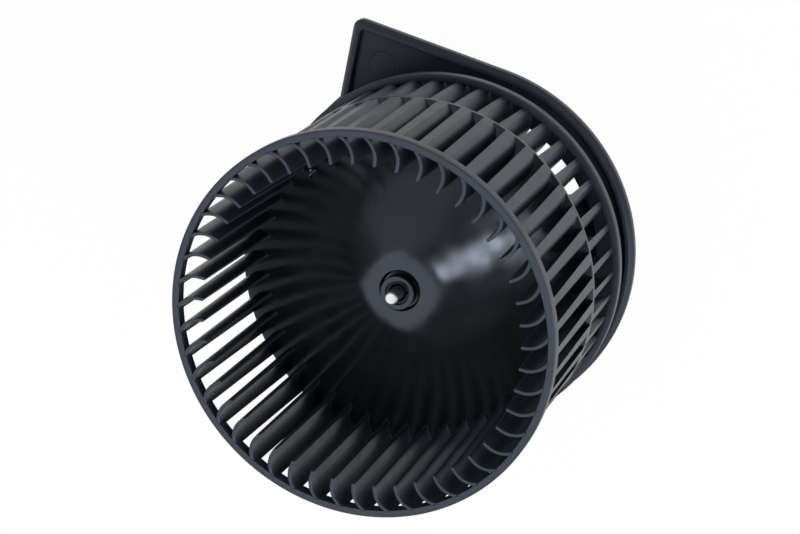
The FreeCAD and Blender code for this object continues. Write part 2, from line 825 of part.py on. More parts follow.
def brush_springs():
    """Wire arms that press on the outer ends of the brushes."""
    place = brush_start + s.brush_length + s.seat_gap
    body = new_body("brush_springs")
    middle = brush_low + s.brush_height / 2
    half = s.brush_width / 2
    leaf = new_sketch(body, "Leaf", lift=middle - s.spring_wire)
    draw_box(leaf, place, place + s.spring_wire, -half, half + s.choke_length / 2)
    arm = pad(body, leaf, 2 * s.spring_wire, "Arm")
    coil = new_sketch(body, "Coil", lift=card_top)
    draw_circle(coil, place + s.spring_wire / 2, half + s.choke_length / 2, s.brush_width / 3)
    post = pad(body, coil, brush_low - card_top + s.brush_height, "Post")
    around(body, [arm, post], 2, "Pair")
    return body


def chokes():
    """Ferrite rods wound with wire, lying on the card."""
    body = new_body("chokes")
    rod = new_sketch(body, "Rod", "YZ_Plane", lift=-s.choke_length / 2)
    draw_circle(rod, s.choke_place, card_top + s.choke_radius + s.seat_gap, s.choke_radius)
    around(body, [pad(body, rod, s.choke_length, "Winding")], 2, "Pair")
    return body


def terminals():
    """Flat blades from the card through the bracket and the cap into the socket."""
    low = cap_low - s.terminal_reach
    body = new_body("terminals")
    for side in (1, -1):
        blade = new_sketch(body, f"Blade{side + 1}", lift=low)
        draw_box(blade, side * s.terminal_pitch / 2 - s.terminal_width / 2,
                 side * s.terminal_pitch / 2 + s.terminal_width / 2,
                 s.socket_place - s.terminal_sheet / 2, s.socket_place + s.terminal_sheet / 2)
        pad(body, blade, s.card_start - low, f"BladePad{side + 1}")
    return body


# Moulded rear cap, dampers and screws

def rear_cap():
    """Cover over the motor's rear end, with three ears and the socket."""
    ear_low = cradle_low - s.ear_thickness
    body = new_body("rear_cap")
    turned(body, [(0, cap_low), (cradle_outer - s.cap_bevel, cap_low),
                  (cradle_outer, cap_low + s.cap_bevel), (cradle_outer, cradle_low),
                  (cradle_outer - s.cap_wall, cradle_low), (cradle_outer - s.cap_wall, cap_low + s.cap_wall),
                  (0, cap_low + s.cap_wall)], "Cover")
    ear = new_sketch(body, "Ear", lift=ear_low, turn=s.arm_angle)
    draw_outline(ear, [(cradle_outer - s.cap_wall, -s.ear_radius), (boss_place, -s.ear_radius),
                       (boss_place, s.ear_radius, (boss_place, 0), 1),
                       (cradle_outer - s.cap_wall, s.ear_radius)])
    ear_pad = pad(body, ear, s.ear_thickness, "EarPad")
    hole = new_sketch(body, "EarHole", lift=cradle_low, turn=s.arm_angle)
    draw_circle(hole, boss_place, 0, s.screw_radius + s.seat_gap)
    ear_hole = pocket(body, hole, s.ear_thickness, "EarHoleCut")
    around(body, [ear_pad, ear_hole], s.arm_count, "Ears")
    shell = new_sketch(body, "Shell", lift=cap_low - s.socket_length)
    half_wide = s.socket_width / 2
    half_thick = s.socket_thickness / 2
    draw_box(shell, -half_wide, half_wide, s.socket_place - half_thick, s.socket_place + half_thick)
    pad(body, shell, s.socket_length, "ShellPad")
    mouth = new_sketch(body, "Mouth", lift=cap_low - s.socket_length)
    draw_box(mouth, s.socket_wall - half_wide, half_wide - s.socket_wall,
             s.socket_place - half_thick + s.socket_wall, s.socket_place + half_thick - s.socket_wall)
    pocket(body, mouth, s.socket_length, "MouthCut", upward=True)
    for side in (1, -1):
        slit = new_sketch(body, f"Slit{side + 1}", lift=cap_low)
        draw_box(slit, side * s.terminal_pitch / 2 - s.terminal_width / 2 - s.seat_gap,
                 side * s.terminal_pitch / 2 + s.terminal_width / 2 + s.seat_gap,
                 s.socket_place - s.terminal_sheet / 2 - s.seat_gap,
                 s.socket_place + s.terminal_sheet / 2 + s.seat_gap)
        pocket(body, slit, s.cap_wall, f"SlitCut{side + 1}", upward=True)
    return body


def cap_screws():
    under_head = cradle_low - s.ear_thickness
    body = new_body("cap_screws")
    head = new_sketch(body, "Head", lift=under_head - s.head_height, turn=s.arm_angle)
    draw_circle(head, boss_place, 0, s.head_radius)
    shank = new_sketch(body, "Shank", lift=under_head - s.head_height / 2, turn=s.arm_angle)
    draw_circle(shank, boss_place, 0, s.screw_radius)
    features = [pad(body, head, s.head_height, "HeadPad"),
                pad(body, shank, s.head_height / 2 + s.ear_thickness + s.screw_depth, "ShankPad")]
    around(body, features, s.arm_count, "Screws")
    return body


def damper(label, low):
    inner = s.can_radius + s.seat_gap
    return ring(label, inner, inner + s.damper_thickness, low, low + s.damper_height)


# Mounting flange

def flange_lines(inset):
    """Corners of the tongue, set in from the outline: tangent point, corner and side foot."""
    radius = s.flange_radius - inset
    side = s.tongue_side_distance - inset
    edge_across, edge_up = cosine(s.tongue_edge_angle), sine(s.tongue_edge_angle)
    side_across, side_up = cosine(s.tongue_side_angle), sine(s.tongue_side_angle)
    turn = edge_across * side_up - edge_up * side_across
    foot = root(radius * radius - side * side)
    tangent = radius * edge_across, radius * edge_up
    corner = (radius * side_up - edge_up * side) / turn, (edge_across * side - side_across * radius) / turn
    base = side * side_across + foot * side_up, side * side_up - foot * side_across
    return tangent, corner, base


def upright_edges(shape, place):
    """Names of the edges that stand on a place of the plane."""
    across, up = place[0].number, place[1].number
    return edge_names(shape, lambda edge: len(edge.Vertexes) == 2 and all(
        math.hypot(vertex.X - across, vertex.Y - up) < 0.01 for vertex in edge.Vertexes))


def flange_plate(body):
    """Round plate with the tongue and a bevelled rim about a sunk floor."""
    disc = new_sketch(body, "Disc")
    draw_circle(disc, 0, 0, s.flange_radius)
    pad(body, disc, s.flange_height, "DiscPad")
    tangent, corner, base = flange_lines(Size(0))
    tongue = new_sketch(body, "Tongue")
    draw_outline(tongue, [(0, 0), tangent, corner, base])
    plate = pad(body, tongue, s.flange_height, "TonguePad")
    plate = rounded(body, plate, upright_edges(plate.Shape, corner), s.tongue_corner_radius, "Corner")
    high, floor = s.flange_height.number, s.flange_floor.number
    top_edges = edge_names(plate.Shape, lambda edge: min(v.Z for v in edge.Vertexes) > high - 0.01)
    bevelled(body, plate, top_edges, s.rim_bevel, "RimBevel")
    floor_depth = s.flange_height - s.flange_floor
    sunk = new_sketch(body, "Floor", lift=s.flange_height)
    draw_circle(sunk, 0, 0, s.flange_radius - s.rim_width)
    pocket(body, sunk, floor_depth, "FloorCut")
    tangent, corner, base = flange_lines(s.rim_width)
    tongue_floor = new_sketch(body, "TongueFloor", lift=s.flange_height)
    draw_outline(tongue_floor, [(0, 0), tangent, corner, base])
    plate = pocket(body, tongue_floor, floor_depth, "TongueFloorCut")
    plate = rounded(body, plate, upright_edges(plate.Shape, corner), s.tongue_corner_radius / 2,
                    "FloorCorner")

    def above_wall(edge):
        """True for an edge on the rim's top that a wall from the floor comes up to."""
        walls = [face for face in plate.Shape.ancestorsOfType(edge, Part.Face)
                 if abs(face.BoundBox.ZMin - floor) < 0.01 and abs(face.BoundBox.ZMax - high) < 0.01]
        return len(walls) == 1 and min(vertex.Z for vertex in edge.Vertexes) > high - 0.01

    bevelled(body, plate, edge_names(plate.Shape, above_wall), s.rim_inner_bevel, "RimInnerBevel")


def inlet_and_cradle(body):
    """Inlet collar, three channel arms and the ring that holds the motor."""
    spigot_outer = s.inlet_radius + s.spigot_wall
    inlet = new_sketch(body, "Inlet", lift=s.flange_height)
    draw_circle(inlet, 0, 0, s.inlet_radius)
    pocket(body, inlet, s.flange_height, "InletCut")
    collar = turned(body, [(s.inlet_radius, -s.spigot_length), (spigot_outer, -s.spigot_length),
                           (spigot_outer, s.flange_floor / 2), (s.inlet_radius, s.flange_floor / 2)],
                    "Collar")
    floor, mouth = s.flange_floor.number, s.inlet_radius.number
    lip = edge_names(collar.Shape, lambda edge: len(edge.Vertexes) == 1
                     and abs(edge.Vertexes[0].Z - floor) < 0.01
                     and abs(math.hypot(edge.Vertexes[0].X, edge.Vertexes[0].Y) - mouth) < 0.01)
    bevelled(body, collar, lip, s.inlet_bevel, "BellMouth")
    half = s.arm_width / 2
    outline = new_sketch(body, "Arm", lift=-s.spigot_length, turn=s.arm_angle)
    end = root(s.inlet_radius * s.inlet_radius - half * half) + s.spigot_wall / 2
    start = cradle_inner + s.cradle_wall / 2
    draw_box(outline, start, end, -half, half)
    arm = pad(body, outline, s.arm_depth, "ArmPad")
    channel = new_sketch(body, "Channel", lift=-s.spigot_length, turn=s.arm_angle)
    draw_box(channel, start + s.cradle_wall, end - s.arm_wall,
             s.arm_wall - half, half - s.arm_wall)
    hollow = pocket(body, channel, s.arm_depth - s.arm_wall, "ChannelCut", upward=True)
    boss = new_sketch(body, "Boss", lift=-s.spigot_length, turn=s.arm_angle)
    draw_circle(boss, boss_place, 0, s.screw_boss_radius)
    boss_pad = pad(body, boss, s.arm_depth - s.arm_wall / 2, "BossPad")
    pilot = new_sketch(body, "Pilot", lift=-s.spigot_length, turn=s.arm_angle)
    draw_circle(pilot, boss_place, 0, s.screw_radius + s.bore_clearance)
    pilot_cut = pocket(body, pilot, s.screw_depth + s.seat_gap, "PilotCut", upward=True)
    around(body, [arm, hollow, boss_pad, pilot_cut], s.arm_count, "Arms")
    lip_low = cradle_high - s.cradle_lip
    lip_inner = s.can_radius + 3 * s.seat_gap
    turned(body, [(cradle_inner, cradle_low), (cradle_outer, cradle_low), (cradle_outer, cradle_high),
                  (lip_inner, cradle_high), (lip_inner, lip_low), (cradle_inner, lip_low)], "Cradle")


def mounting_flange():
    body = new_body("mounting_flange")
    flange_plate(body)
    inlet_and_cradle(body)
    return body


front_damper_low = cradle_high - s.cradle_lip - s.seat_gap - s.damper_height
NODES = [
    mounting_flange(), motor_can(), field_magnets(), magnet_clips(),
    bearing("front_bearing", front_ball), oil_felt("front_oil_felt", front_ball),
    bearing_retainer("front_bearing_retainer", can_roof, front_ball, 1),
    end_bracket(), bearing("rear_bearing", rear_ball), oil_felt("rear_oil_felt", rear_ball),
    bearing_retainer("rear_bearing_retainer", bracket_high, rear_ball, -1),
    brush_card(), brush_boxes(), brushes(), brush_springs(), chokes(), terminals(),
    rear_cap(), cap_screws(), damper("front_damper", front_damper_low),
    damper("rear_damper", can_rear + s.can_wall),
    fan_wheel(), motor_shaft(), hub_clip(), thrust_washers(), armature_core(),
    armature_insulators(), armature_winding(), commutator_hub(), commutator_bars(),
]
doc.recompute()

for item in doc.Objects:
    if "Invalid" in item.State or "Error" in item.State:
        raise ValueError(f"{item.Label}: {item.State}")
for node in NODES:
    if node.Shape.isNull() or not node.Shape.isValid():
        raise ValueError(f"{node.Label} has no valid shape")

os.makedirs("parts", exist_ok=True)
for node in NODES:
    node.Shape.exportStep(f"parts/{node.Label}.step")
    print(node.Label, len(node.Shape.Solids), round(node.Shape.Volume), node.Shape.BoundBox)
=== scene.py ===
import json
import math

import bpy
from mathutils import Matrix, Vector


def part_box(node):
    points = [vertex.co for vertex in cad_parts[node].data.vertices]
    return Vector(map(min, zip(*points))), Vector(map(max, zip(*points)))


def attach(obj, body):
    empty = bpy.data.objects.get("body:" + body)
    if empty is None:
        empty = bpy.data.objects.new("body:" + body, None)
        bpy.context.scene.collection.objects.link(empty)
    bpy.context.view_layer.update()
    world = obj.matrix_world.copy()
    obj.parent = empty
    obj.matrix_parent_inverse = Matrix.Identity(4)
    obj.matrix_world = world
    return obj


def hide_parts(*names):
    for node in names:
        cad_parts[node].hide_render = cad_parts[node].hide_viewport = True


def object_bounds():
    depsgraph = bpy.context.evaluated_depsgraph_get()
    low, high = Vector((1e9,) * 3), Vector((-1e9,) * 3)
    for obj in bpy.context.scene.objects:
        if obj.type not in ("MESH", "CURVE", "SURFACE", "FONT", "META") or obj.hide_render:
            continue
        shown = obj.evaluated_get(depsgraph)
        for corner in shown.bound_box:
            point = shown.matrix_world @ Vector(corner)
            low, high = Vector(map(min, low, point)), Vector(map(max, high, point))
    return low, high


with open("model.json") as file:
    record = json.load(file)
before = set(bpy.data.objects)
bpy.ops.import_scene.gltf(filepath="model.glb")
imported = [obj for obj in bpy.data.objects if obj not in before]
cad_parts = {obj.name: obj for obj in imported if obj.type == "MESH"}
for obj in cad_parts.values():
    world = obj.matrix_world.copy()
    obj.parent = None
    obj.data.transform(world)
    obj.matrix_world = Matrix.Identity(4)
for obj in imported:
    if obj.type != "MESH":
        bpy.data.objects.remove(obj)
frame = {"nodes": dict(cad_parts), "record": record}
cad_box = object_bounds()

# Blower motor: the looks of its moulded wheel, of the flange behind it and of the motor inside.
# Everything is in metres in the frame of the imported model: the shaft turns about Z, and the wheel's
# open end is up.

MM = 0.001

# Sizes of the wheel's two rings. The wheel's ends come from its box, and its other sizes are those
# of the CAD model.
WHEEL_REAR, WHEEL_FRONT = (corner[2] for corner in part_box("fan_wheel"))
RING_RADIUS = 72.5 * MM
REAR_RING_RADIUS = RING_RADIUS + 0.4 * MM
RING_WALL = 2.7 * MM
RING_INNER = RING_RADIUS - RING_WALL
RING_ROUNDING = 0.45 * MM
FRONT_RING_DEPTH = 4.8 * MM
REAR_RING_DEPTH = 4.3 * MM

# Sizes of the blades. Their section is straight from its inner tip to just before the bend, and a
# curve from there to the wheel's outside. BLADE_CURVE is how far the curve's centre lies beside it.
BLADE_COUNT = 47
BLADE_PITCH = 2 * math.pi / BLADE_COUNT
BLADE_PHASE = math.radians(1.5)
BLADE_OUTER = RING_INNER + 0.6 * MM
BLADE_CHORD = 10.4 * MM
BLADE_ROOT_GAIN = 1.1 * MM
BLADE_BEND = RING_INNER - 7.45 * MM
BEND_LEAD = 0.6 * MM
BLADE_CURVE = 8.1 * MM
BLADE_EDGE = 0.18 * MM
FRONT_TIP_THICKNESS = 1.25 * MM
FRONT_ROOT_THICKNESS = 1.7 * MM
REAR_TIP_THICKNESS = 0.95 * MM
REAR_ROOT_THICKNESS = 1.4 * MM
BLADE_BACK = FRONT_TIP_THICKNESS / 2

# The foot of a blade: its section is taken a little off the disc and reaches into the disc, with a
# fillet that fades out towards the wheel's outside
ROOT_SECTION = 2 * MM
ROOT_SINK = 0.7 * MM
ROOT_FILLET = 0.2 * MM
FILLET_STEPS = 6
FILLET_FADE = 2 * MM
FILLET_LEAST = 0.1

# Sizes of the disc, from its edge to the boss in its recess. The cone falls by CONE_FALL for each
# unit outward, and the rounding of its edge turns CONE_TURN degrees to meet it.
DISC_EDGE = WHEEL_FRONT - 62.8 * MM
DISC_WALL = 1.9 * MM
DISC_ROUNDING = 0.25 * MM
CONE_FALL = 0.3
CONE_TURN = 73
CONE_STATIONS = [radius * MM for radius in (27, 36, 45, 54, 62)]
SHOULDER = 18.0 * MM
SHOULDER_STEPS = 10
LIP_EDGE = 8.6 * MM
LIP_ROUNDING = 0.4 * MM
RECESS_RADIUS = 7.8 * MM
RECESS_CORNER = 0.5 * MM
BOSS_FACE = WHEEL_FRONT - 42.5 * MM
BOSS_RADIUS = 6.6 * MM
RECESS_FLOOR = BOSS_FACE - 5.8 * MM
HUB_REAR = BOSS_FACE - 11.5 * MM
HUB_BORE = 2.52 * MM
COUNTERBORE_RADIUS = 4.5 * MM
COUNTERBORE_FLOOR = BOSS_FACE - 3.0 * MM
HOLE_PLACE = 55.1 * MM
HOLE_ANGLE = math.radians(129.4)
HOLE_RADIUS = 1.9 * MM
DRILL_LENGTH = 20 * MM

# Sizes of the flange's outline, a circle and a tongue between two straight sides, and of its rim
FLANGE_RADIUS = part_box("mounting_flange")[1][0]
TONGUE_START, TONGUE_END = math.radians(68), math.radians(124.6)
TONGUE_SIDE_ANGLE = math.radians(162.5)
TONGUE_SIDE = 58.7 * MM
RIM_SLOPE = 2.4 * MM
RIM_ROUNDING = 1.2 * MM


# Colours and nodes

def linear(hex_colour):
    """Linear RGBA of an sRGB hex colour."""
    parts = [int(hex_colour[i:i + 2], 16) / 255 for i in (1, 3, 5)]
    return tuple(part / 12.92 if part <= 0.04045 else ((part + 0.055) / 1.055) ** 2.4
                 for part in parts) + (1.0,)


def add_node(tree, kind, inputs=None, **fields):
    """Adds a node with its fields. Each input that is named, or numbered, gets a link where it is
    given another node's output, and else a value. Returns the node's outputs."""
    node = tree.nodes.new(kind)
    for name, value in fields.items():
        setattr(node, name, value)
    for socket, source in (inputs or {}).items():
        if isinstance(source, bpy.types.NodeSocket):
            tree.links.new(source, node.inputs[socket])
        else:
            node.inputs[socket].default_value = source
    return node.outputs


def empty_tree(owner):
    """The node tree of a material or a world, without the nodes that Blender puts in it."""
    owner.use_nodes = True
    owner.node_tree.nodes.clear()
    return owner.node_tree


def new_material(name):
    """A material with its tree and the object's coordinates in it."""
    material = bpy.data.materials.new(name)
    tree = empty_tree(material)
    return material, tree, add_node(tree, "ShaderNodeTexCoord")["Object"]


def add_surface(tree, tone, colours, relief, settings):
    """Ends a material's tree with its shader. tone is a pattern and its values at the first and at
    the second colour. relief is bumps laid over each other, each a pattern, a strength and a depth.
    settings are the shader's other inputs."""
    pattern, first, second = tone
    share = add_node(tree, "ShaderNodeMapRange",
                     {"Value": pattern, "From Min": first, "From Max": second})["Result"]
    # The inputs 6 and 7 of a mix node are its two colours, and its output 2 is their blend
    colour = add_node(tree, "ShaderNodeMix", {
        "Factor": share, 6: linear(colours[0]), 7: linear(colours[1])}, data_type="RGBA")[2]
    normal = {}
    for height, strength, depth in relief:
        normal = {"Normal": add_node(tree, "ShaderNodeBump", {
            "Height": height, "Strength": strength, "Distance": depth, **normal})["Normal"]}
    shader = add_node(tree, "ShaderNodeBsdfPrincipled",
                      {"Base Color": colour, **normal, **settings})["BSDF"]
    add_node(tree, "ShaderNodeOutputMaterial", {"Surface": shader})


# Finishes. The period of a noise is about the size of its features, and most of its values lie
# between NOISE_LOW and NOISE_HIGH. A narrower span gives harder specks. Grain and tool marks that
# are too fine to show in the render are drawn as coarse as they need to show.

NOISE_LOW, NOISE_HIGH = 0.3, 0.7
SPECK_LOW, SPECK_HIGH = 0.35, 0.65
NOISE_ROUGHNESS = 0.55
CLOUD_PERIOD = 14 * MM
SINK_PERIOD = 15 * MM
METAL_CLOUD_PERIOD = 6 * MM
MARK_LINE = 0.4 * MM
MARK_DEPTH = 0.12 * MM
MARK_OFF_FACE = 8
PLASTIC_IOR = 1.49
SHEET_THICKNESS = 0.5 * MM
WAVE_PERIOD_TIMES_SCALE = 0.314


def ejector_mark(tree, coordinates, centre, radius):
    """0 along the fine ring that an ejector pin leaves on a flat face of a moulding, 1 beside it.
    A distance off that face counts several times, so that the ring stays on the face."""
    offset = add_node(tree, "ShaderNodeVectorMath", {0: coordinates, 1: centre},
                      operation="SUBTRACT")["Vector"]
    weighted = add_node(tree, "ShaderNodeVectorMath", {0: offset, 1: (1, 1, MARK_OFF_FACE)},
                        operation="MULTIPLY")["Vector"]
    distance = add_node(tree, "ShaderNodeVectorMath", {0: weighted}, operation="LENGTH")["Value"]
    beside = add_node(tree, "ShaderNodeMath", {0: distance, 1: radius}, operation="SUBTRACT")[0]
    across = add_node(tree, "ShaderNodeMath", {0: beside}, operation="ABSOLUTE")[0]
    return add_node(tree, "ShaderNodeMapRange",
                    {"Value": across, "From Min": 0, "From Max": MARK_LINE})["Result"]


def moulded_plastic(name, colours, roughness, grain, depth, sheen="#ffffff", sink=0.0, gloss=0.5,
                    marks=()):
    """Plastic straight from the mould: a fine even grain, with a faint cloudiness where the melt
    cooled unevenly, which varies both colour and gloss. Where it is polished, shallow sink marks of
    the given depth bend what it mirrors. Ejector pins leave rings where marks are given."""
    material, tree, coordinates = new_material(name)
    cloud = add_node(tree, "ShaderNodeTexNoise", {
        "Vector": coordinates, "Scale": 1 / CLOUD_PERIOD, "Detail": 4.0,
        "Roughness": NOISE_ROUGHNESS})["Fac"]
    fine = add_node(tree, "ShaderNodeTexNoise", {
        "Vector": coordinates, "Scale": 1 / grain, "Detail": 2.0,
        "Roughness": NOISE_ROUGHNESS})["Fac"]
    dull = add_node(tree, "ShaderNodeMapRange", {
        "Value": cloud, "From Min": NOISE_LOW, "From Max": NOISE_HIGH,
        "To Min": roughness - 0.04, "To Max": roughness + 0.06})["Result"]
    relief = [(fine, 0.5, depth)]
    if sink:
        dips = add_node(tree, "ShaderNodeTexNoise", {
            "Vector": coordinates, "Scale": 1 / SINK_PERIOD, "Detail": 1.0,
            "Roughness": NOISE_ROUGHNESS})["Fac"]
        relief.append((dips, 1.0, sink))
    for centre, radius in marks:
        relief.append((ejector_mark(tree, coordinates, centre, radius), 0.8, MARK_DEPTH))
    add_surface(tree, (cloud, NOISE_LOW, NOISE_HIGH), colours, relief, {
        "Roughness": dull, "IOR": PLASTIC_IOR, "Specular Tint": linear(sheen),
        "Specular IOR Level": gloss})
    return material


def turned_metal(name, colours, roughness, line):
    """Metal with fine marks that run round the Z axis, as a lathe or a grinding wheel leaves."""
    material, tree, coordinates = new_material(name)
    drawn_out = add_node(tree, "ShaderNodeMapping", {
        "Vector": coordinates, "Scale": (0.04, 0.04, 1.0)})["Vector"]
    marks = add_node(tree, "ShaderNodeTexNoise", {
        "Vector": drawn_out, "Scale": 1 / line, "Detail": 4.0,
        "Roughness": NOISE_ROUGHNESS})["Fac"]
    cloud = add_node(tree, "ShaderNodeTexNoise", {
        "Vector": coordinates, "Scale": 1 / METAL_CLOUD_PERIOD, "Detail": 3.0,
        "Roughness": NOISE_ROUGHNESS})["Fac"]
    dull = add_node(tree, "ShaderNodeMapRange", {
        "Value": marks, "From Min": NOISE_LOW, "From Max": NOISE_HIGH,
        "To Min": roughness - 0.06, "To Max": roughness + 0.1})["Result"]
    add_surface(tree, (cloud, NOISE_LOW, NOISE_HIGH), colours, [(marks, 0.35, 0.01 * MM)],
                {"Roughness": dull, "Metallic": 1.0})
    return material


def granular(name, colours, roughness, grain, depth, metallic=0.0):
    """Pressed, sintered or fibrous stuff: speckled in colour with an open grain."""
    material, tree, coordinates = new_material(name)
    fine = add_node(tree, "ShaderNodeTexNoise", {
        "Vector": coordinates, "Scale": 1 / grain, "Detail": 5.0, "Roughness": 0.7})["Fac"]
    dull = add_node(tree, "ShaderNodeMapRange", {
        "Value": fine, "From Min": NOISE_LOW, "From Max": NOISE_HIGH,
        "To Min": roughness - 0.08, "To Max": roughness + 0.08})["Result"]
    add_surface(tree, (fine, SPECK_LOW, SPECK_HIGH), colours, [(fine, 0.6, depth)],
                {"Roughness": dull, "Metallic": metallic})
    return material


def laminated_steel(name, colours, roughness):
    """Stamped electrical sheet, stacked: a dark line between each sheet and the next along Z."""
    material, tree, coordinates = new_material(name)
    sheet = add_node(tree, "ShaderNodeTexWave", {
        "Vector": coordinates, "Scale": WAVE_PERIOD_TIMES_SCALE / SHEET_THICKNESS,
        "Distortion": 0.3}, wave_type="BANDS", bands_direction="Z")["Fac"]
    add_surface(tree, (sheet, 0, 1), colours, [(sheet, 0.5, 0.05 * MM)],
                {"Roughness": roughness, "Metallic": 1.0})
    return material


# Materials by the record's slots, each with what its stuff and its making give the eye

COOL_SHEEN = "#dce8ff"
EJECTOR_MARKS = (((-23.1 * MM, 72.8 * MM, 1.9 * MM), 5.6 * MM),)

# Talc makes the moulded black a little blue and pale, with a broad soft shine
BLACK_WHEEL = moulded_plastic(
    "talc_filled_polypropylene_moulded", ("#262c34", "#2c323a"), roughness=0.4,
    grain=0.45 * MM, depth=0.01 * MM, sheen=COOL_SHEEN)
# The same where the mould was polished: near black, and it mirrors the blades
BLACK_DISC = moulded_plastic(
    "talc_filled_polypropylene_polished", ("#121416", "#17191b"), roughness=0.19,
    grain=1.6 * MM, depth=0.004 * MM, sheen=COOL_SHEEN, sink=0.35 * MM)

MATERIALS = {
    # Glass in the plastic leaves its skin duller and rougher than talc does
    "moulded_black": moulded_plastic(
        "glass_filled_polypropylene_moulded", ("#252a31", "#2c3138"), roughness=0.42,
        grain=0.6 * MM, depth=0.015 * MM, sheen=COOL_SHEEN, gloss=0.36, marks=EJECTOR_MARKS),
    "wheel_black": BLACK_WHEEL,
    # A thin even zinc layer: mid grey with a satin shine
    "can_steel": turned_metal(
        "zinc_plated_steel_drawn", ("#85888c", "#9da0a2"), roughness=0.36, line=0.6 * MM),
    # Bare steel off the grinder: pale, with fine marks round it
    "shaft_steel": turned_metal(
        "carbon_steel_ground", ("#b4b5b7", "#c6c7c8"), roughness=0.4, line=0.25 * MM),
    # Hardened strip with its blue-black oxide
    "spring_steel": turned_metal(
        "spring_steel_blued", ("#1d1f24", "#2b2d31"), roughness=0.38, line=0.3 * MM),
    # Dark grey and stony, only faintly shiny where it was ground
    "ferrite": granular(
        "ferrite_ground", ("#2a2a2b", "#3a3a3a"), roughness=0.62, grain=0.3 * MM,
        depth=0.02 * MM),
    # Bright sheet edges with dark gaps between them
    "core_steel": laminated_steel(
        "electrical_steel_stamped", ("#3a3b3e", "#8b8c8f"), roughness=0.45),
    # Wire under clear enamel: red brown with a warm shine
    "copper": turned_metal(
        "enamelled_copper_wound", ("#8c4425", "#b3653a"), roughness=0.34, line=0.5 * MM),
    # Rolled strip: dull yellow with a satin shine
    "brass": turned_metal(
        "brass_rolled", ("#b0904c", "#c3a562"), roughness=0.33, line=0.4 * MM),
    # Pressed powder: brown, with open pores that hold the oil
    "bronze": granular(
        "bronze_sintered", ("#7a5a30", "#9b7848"), roughness=0.5, grain=0.15 * MM,
        depth=0.02 * MM, metallic=1.0),
    # Matted wool soaked in oil: grey beige without any shine
    "felt": granular(
        "wool_felt_oiled", ("#8f897b", "#b7b1a3"), roughness=0.95, grain=0.25 * MM,
        depth=0.15 * MM),
    # Soot-filled rubber: a dull even black
    "rubber": granular(
        "nitrile_rubber_moulded", ("#161616", "#1f1f1f"), roughness=0.7, grain=0.4 * MM,
        depth=0.02 * MM),
    # Resin with wood flour in it: dark brown and lightly speckled
    "card_plastic": granular(
        "phenolic_moulded", ("#2b211b", "#3a2e26"), roughness=0.5, grain=0.5 * MM,
        depth=0.02 * MM),
    # Undyed plastic: off-white with a soft shine
    "insulator": moulded_plastic(
        "polyamide_moulded", ("#c3bfb2", "#d2cec2"), roughness=0.45, grain=0.4 * MM,
        depth=0.01 * MM),
    # Pressed graphite: black with a grey glint in its grain
    "carbon": granular(
        "carbon_pressed", ("#151515", "#262626"), roughness=0.55, grain=0.12 * MM,
        depth=0.02 * MM),
}


# Meshes

def mesh_object(name, vertices, faces, smooth=True):
    """An object of the scene with a mesh of its own."""
    mesh = bpy.data.meshes.new(name)
    mesh.from_pydata(vertices, [], faces)
    mesh.validate()
    mesh.update()
    mesh.polygons.foreach_set("use_smooth", [smooth] * len(mesh.polygons))
    thing = bpy.data.objects.new(name, mesh)
    bpy.context.scene.collection.objects.link(thing)
    return thing


def arc(centre, radius, first, last, steps):
    """Points of an arc, with angles in degrees."""
    angles = [math.radians(first + (last - first) * i / steps) for i in range(steps + 1)]
    return [(centre[0] + radius * math.cos(a), centre[1] + radius * math.sin(a)) for a in angles]


def lathe(name, profile, segments):
    """Turns a closed profile of (radius, height) points about Z. The profile runs anticlockwise."""
    count = len(profile)
    vertices = []
    faces = []
    for turn in range(segments):
        angle = 2 * math.pi * turn / segments
        vertices += [(r * math.cos(angle), r * math.sin(angle), z) for r, z in profile]
        here = turn * count
        there = (turn + 1) % segments * count
        for i in range(count):
            j = (i + 1) % count
            faces.append((here + i, there + i, there + j, here + j))
    return mesh_object(name, vertices, faces)


def sharpen(thing, degrees):
    """Splits the shading at edges sharper than an angle."""
    split = thing.modifiers.new("sharp_edges", "EDGE_SPLIT")
    split.split_angle = math.radians(degrees)


def bake(thing, material):
    """Turns what an object's modifiers make of it into its plain mesh."""
    evaluated = thing.evaluated_get(bpy.context.evaluated_depsgraph_get())
    mesh = bpy.data.meshes.new_from_object(evaluated)
    thing.modifiers.clear()
    thing.data = mesh
    mesh.materials.clear()
    mesh.materials.append(material)
    return thing


def repeater(name, material):
    """A tree that sets copies of its input evenly about the Z axis."""
    tree = bpy.data.node_groups.new(name, "GeometryNodeTree")
    sockets = {}
    for label, kind in (("Geometry", "Geometry"), ("Count", "Int"), ("First Angle", "Float")):
        sockets[label] = tree.interface.new_socket(
            label, in_out="INPUT", socket_type=f"NodeSocket{kind}")
    tree.interface.new_socket("Geometry", in_out="OUTPUT", socket_type="NodeSocketGeometry")
    entry = add_node(tree, "NodeGroupInput")
    seats = add_node(tree, "GeometryNodePoints", {"Count": entry["Count"]})[0]
    copies = add_node(tree, "GeometryNodeInstanceOnPoints",
                      {"Points": seats, "Instance": entry["Geometry"]})[0]
    index = add_node(tree, "GeometryNodeInputIndex")[0]
    step = add_node(tree, "ShaderNodeMath", {0: 2 * math.pi, 1: entry["Count"]},
                    operation="DIVIDE")[0]
    turn = add_node(tree, "ShaderNodeMath", {0: index, 1: step, 2: entry["First Angle"]},
                    operation="MULTIPLY_ADD")[0]
    about = add_node(tree, "ShaderNodeCombineXYZ", {"Z": turn})[0]
    turned = add_node(tree, "GeometryNodeRotateInstances",
                      {"Instances": copies, "Rotation": about, "Local Space": False})[0]
    solid = add_node(tree, "GeometryNodeRealizeInstances", {"Geometry": turned})[0]
    finish = add_node(tree, "GeometryNodeSetMaterial", {"Geometry": solid, "Material": material})[0]
    add_node(tree, "NodeGroupOutput", {"Geometry": finish})
    return tree, sockets


